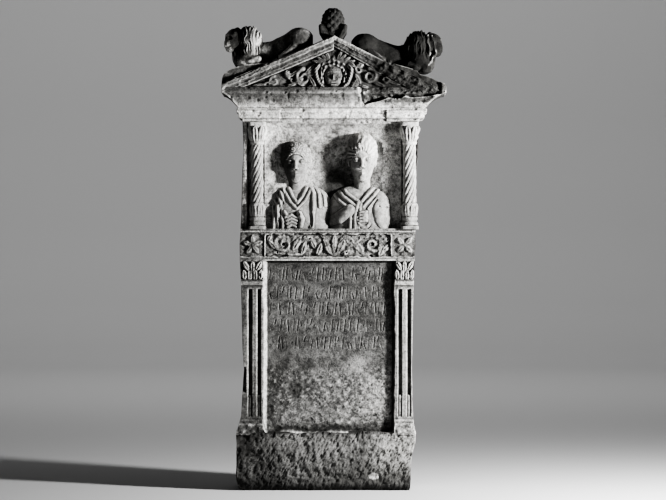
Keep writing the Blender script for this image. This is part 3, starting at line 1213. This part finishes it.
def womanFolds(x, z):
    # curved folds from both shoulders crossing on the breast, a fist in ringed drapery, a smooth
    # upper arm, and a forearm reaching across
    ring = np.hypot(x - 122, (z - 1100) / 1.45)
    turned = np.arctan2(z - 1100, x - 122)
    gap = smooth((1.9 - np.abs(np.abs(turned + 2.6) % (2 * math.pi))) / 0.6)
    fist = dome(ring, 17) * 15 + dome(ring - 29, 5.5) * 9 * gap + dome(ring - 42, 5.5) * 8 * gap
    knuckles = [(((104, 1118 - 12 * i), (130, 1120 - 12 * i)), 7, 6) for i in range(4)]
    fist = np.maximum(fist, highest(pathRidge, x, z, knuckles) * 2.3)
    forearm = pathRidge(x, z, ((62, 1126), (20, 1096), (-26, 1078)), 27, 19)
    fingers = [(((-34, 1106 - 12 * i), (-60, 1104 - 13 * i), (-76, 1088 - 10 * i)), 7, 6)
               for i in range(4)]
    reaching = np.maximum(forearm * 0.8, highest(pathRidge, x, z, fingers) * 1.9)
    carving = np.maximum(np.maximum(highest(fold, x, z, drapery["woman"]) * 1.3, fist),
                         np.maximum(spot(x, z, 204, 1130, 46, 84) * 16, reaching))
    dents = spot(x, z, 212, 1138, 6) + spot(x, z, 184, 1142, 4)
    return carving - 6 * dents - pathRidge(x, z, ((172, 1168), (142, 1132)), 5)


chests = (
    {"left": -290, "right": -6, "top": 1230, "folds": manFolds},
    {"left": -26, "right": 250, "top": 1226, "folds": womanFolds},
)


def addChests():
    # each is a rounded sheet: as wide as the shoulders, bulging to the front, folds added
    parts = []
    across = np.linspace(-1, 1, 170)[None, :]
    side = np.abs(across)
    rise = np.linspace(0, 1, 112)[:, None]
    bulge = 96 * np.sqrt(np.clip(1 - side ** 2.9 * 0.97, 0, 1)) * (1 - 0.55 * rise ** 4)
    hem = smooth((1 - rise) / 0.06) * smooth((1 - side) / 0.04)
    for seed, chest in enumerate(chests):
        x = mixed(chest["left"], chest["right"], (across + 1) / 2) + 0 * rise
        z = mixed(block["nicheFoot"] - 6, chest["top"] - 62 * side ** 3.2, rise)
        folds = chest["folds"](x, z)
        y = 18 - bulge - folds * hem + 0.9 * roughness(x, z, 14, 3, 111 + seed)
        grid = np.stack([x, np.maximum(y, corniceY + 6), z], -1)
        parts.append(slab(grid, 44, tones(folds, (4, 3), (16, 8))))
    addPiece("chests", parts, cleanStone)


# ---- lions on the roof

lions = (
    {"side": -1, "head": 398, "headZ": 1808, "rump": 142, "rumpZ": 1864, "dip": 262, "dipZ": 1802,
     "bedZ": 1700, "bedRump": 1760, "soot": 0.0, "meld": 6,
     "patches": ((318, 34, -1.0), (384, 17, 2.6), (434, 20, -2.6), (250, 70, -0.9), (120, 50, -0.9)),
     "strands": ()},
    {"side": 1, "head": 394, "headZ": 1790, "rump": 126, "rumpZ": 1840, "dip": 240, "dipZ": 1790,
     "bedZ": 1672, "bedRump": 1752, "soot": 0.95, "meld": 34,
     "patches": ((448, 7, -3.0), (180, 60, -0.8)),
     "strands": (((2, 34), (12, 8), (13, -20), (6, -48), (-8, -76), (-14, -92)),
                 ((-20, 36), (-12, 22), (-14, 4), (-9, -20), (-14, -44)))},
)


def maneBend(x, z):                 # how far the strands of the mane swing outwards
    return 7 * grain(x, z, 27, 132) + 3 * grain(x, z, 12, 133)


def lionField(x, y, z, lion):
    # x counts outwards: muzzle, skull and mane over the corner, chest, back, haunch and legs
    hx, hz = lion["head"], lion["headZ"]
    rx, rz = lion["rump"], lion["rumpZ"]

    def near(right, y, up):         # a place given from the middle of the head
        return hx + right, y, hz + up

    skull = egg(x, y, z, near(0, -84, 6), (40, 44, 42))
    muzzle = egg(x, y, z, near(24, -106, -16), (23, 25, 20))
    jaw = egg(x, y, z, near(18, -102, -38), (18, 20, 12))
    cheek = egg(x, y, z, near(8, -112, -12), (22, 16, 20))
    brow = limb(x, y, z, near(2, -122, 22), near(32, -112, 20), 8, 6)
    head = melt(melt(skull, muzzle, 12), melt(jaw, melt(cheek, brow, 8), 6), 8)
    head = hollow(head, egg(x, y, z, near(22, -130, 8), (11, 12, 7)), 4)
    head = melt(head, span(x, y, z, near(22, -112, 8)) - 9, 2)
    head = hollow(head, limb(x, y, z, near(2, -130, -26), near(48, -116, -28), 4), 3)
    head = melt(head, egg(x, y, z, near(-10, -92, 40), (11, 12, 13)), 5)
    bent = x + maneBend(x, z)
    wave = np.cos(bent / 1.75) * (0.6 + 0.4 * np.cos((z + 1.4 * x) / 12)) + 0.5 * np.cos(bent / 4.7)
    wave = wave * (0.62 + 0.5 * grain(x, z, 16, 134)) * smooth((z - hz + 72) / 26)
    mane = melt(egg(x, y, z, near(-54, -76, 4), (54, 60, 55)),
                egg(x, y, z, near(-48, -76, -50), (48, 54, 50)), 10) - 4.4 * wave
    chest = egg(x, y, z, near(-30, -70, -66), (42, 52, 50))
    back = limb(x, y, z, near(-70, -48, -44), (lion["dip"], -46, lion["dipZ"] - 44), 44, 42)
    back = melt(back, limb(x, y, z, (lion["dip"], -46, lion["dipZ"] - 44), (rx, -50, rz - 52), 42, 46), 16)
    haunch = egg(x, y, z, (rx - 4, -64, rz - 50), (56, 58, 48))
    body = melt(melt(chest, back, 18), haunch, 12)
    legs = melt(limb(x, y, z, near(-48, -108, -62), near(-14, -120, -88), 17, 14),
                limb(x, y, z, near(-14, -120, -88), (hx - 34, -120, lion["bedZ"] + 24), 14, 12), 6)
    legs = melt(legs, egg(x, y, z, (hx - 24, -120, lion["bedZ"] + 14), (24, 17, 13)), 6)
    second = melt(limb(x, y, z, near(-92, -104, -80), (hx - 70, -114, lion["bedZ"] + 30), 16, 13),
                  egg(x, y, z, (hx - 62, -116, lion["bedZ"] + 22), (22, 16, 12)), 6)
    hind = melt(limb(x, y, z, (rx + 16, -106, rz - 80), (rx + 70, -112, lion["bedRump"] - 26), 17, 12),
                egg(x, y, z, (rx + 84, -112, lion["bedRump"] - 40), (22, 15, 11)), 6)
    form = melt(melt(body, mane, lion["meld"]), head, 5)
    form = melt(melt(form, legs, 6), melt(second, hind, 4), 6)
    for strand in lion["strands"]:
        for (a, b), (c, d) in zip(strand[:-1], strand[1:]):
            form = melt(form, limb(bent, y, z, near(a, -125, b), near(c, -125, d), 5), 5)
    return form


def addLions():
    # each lion has its own soot, patches and, on the right, paler bent strands of mane
    parts = []
    for seed, lion in enumerate(lions):
        head, headZ, rump, rumpZ = lion["head"], lion["headZ"], lion["rump"], lion["rumpZ"]

        def placed(x, y, z):
            return lionField(x, y, z, lion) + 1.8 * weathered(x, y, z, 20, 121 + seed)

        def spine(x):
            stops = (rump - 60, rump, lion["dip"], head - 60, head, head + 60)
            up = (rumpZ - 62, rumpZ - 56, lion["dipZ"] - 52, headZ - 34, headZ - 6, headZ - 14)
            return np.interp(x, stops, (-50, -56, -50, -66, -84, -96)), np.interp(x, stops, up)

        grid, recess = rayForm(placed, spine, (rump - 60, head + 60, 168), 134, 150, False)
        outwards = grid[..., 0].copy()
        grid[..., 0] *= lion["side"]
        grid[..., 1] = np.clip(grid[..., 1], corniceY + 1, backY)
        x, y, z = axes(grid)
        patches = smooth(roughness(x, z, 60, 3, 131) + 0.4)
        for middle, half, tone in lion["patches"]:
            patches = patches + tone * bell(outwards - middle, half)
        under = smooth((headZ - 80 - z) / 14) * smooth((outwards - 300) / 20)
        recess = recess + 0.3 * patches + lion["soot"] + 0.3 * under
        for strand in lion["strands"]:
            path = [(head + a, headZ + b) for a, b in strand]
            ridge = pathRidge(outwards + maneBend(outwards, z), z, path, 5) / 5
            recess = recess - 1.15 * ridge * (0.7 + 0.5 * grain(x, z, 14, 135)) * smooth((-112 - y) / 10)
        parts.append(tube(grid, recess))
    addPiece("lions", parts, darkStone)


# ---- pine cone on the apex

cone = {"x": -4, "y": -62, "z": 1884, "radius": 43, "tall": 56, "foot": 1806, "pitch": 15.5}


def coneField(x, y, z):
    # an egg covered with pointed scales in crossing spirals, held between curled leaves
    cx, cy = cone["x"], cone["y"]
    turn = np.arctan2(y - cy, x - cx)
    up = (z - cone["foot"]) / cone["pitch"]
    scales = np.abs(np.cos(4.5 * turn + up * 1.6)) * np.abs(np.cos(4.5 * turn - up * 1.6))
    body = egg(x, y, z, (cx, cy, cone["z"]), (cone["radius"], cone["radius"], cone["tall"]))
    form = melt(body - 5.5 * scales, limb(x, y, z, (cx, cy, 1790), (cx, cy, 1834), 44, 34), 5)
    for hand in (-1, 1):
        for deep in (-30, 26):
            bend = (cx + hand * 42, cy + deep * 1.2, 1842)
            leaf = limb(x, y, z, (cx + hand * 16, cy + deep, 1800), bend, 15, 12)
            tip = limb(x, y, z, bend, (cx + hand * 48, cy + deep * 1.2, 1864), 12, 10)
            groove = limb(x, y, z, (cx + hand * 34, cy + deep * 1.75, 1812),
                          (cx + hand * 46, cy + deep * 1.75, 1862), 5, 6)
            form = hollow(melt(form, melt(leaf, tip, 5), 2), groove, 3)
    return form + 0.8 * weathered(x, y, z, 12, 141)


def addCone():
    def spine(z):
        return cone["x"] + 0 * z, cone["y"] + 0 * z

    grid, recess = rayForm(coneField, spine, (1786, topZ + 4, 120), 130, 90, True)
    grid[..., 2] = np.minimum(grid[..., 2], topZ)
    addPiece("pineCone", [tube(grid, np.maximum(recess, 0.45))], darkStone)


addSocle()
addLowerShaft()
addFrieze()
addNiche()
addEntablature()
addGable()
addColumns()
addHeads()
addChests()
addLions()
addCone()
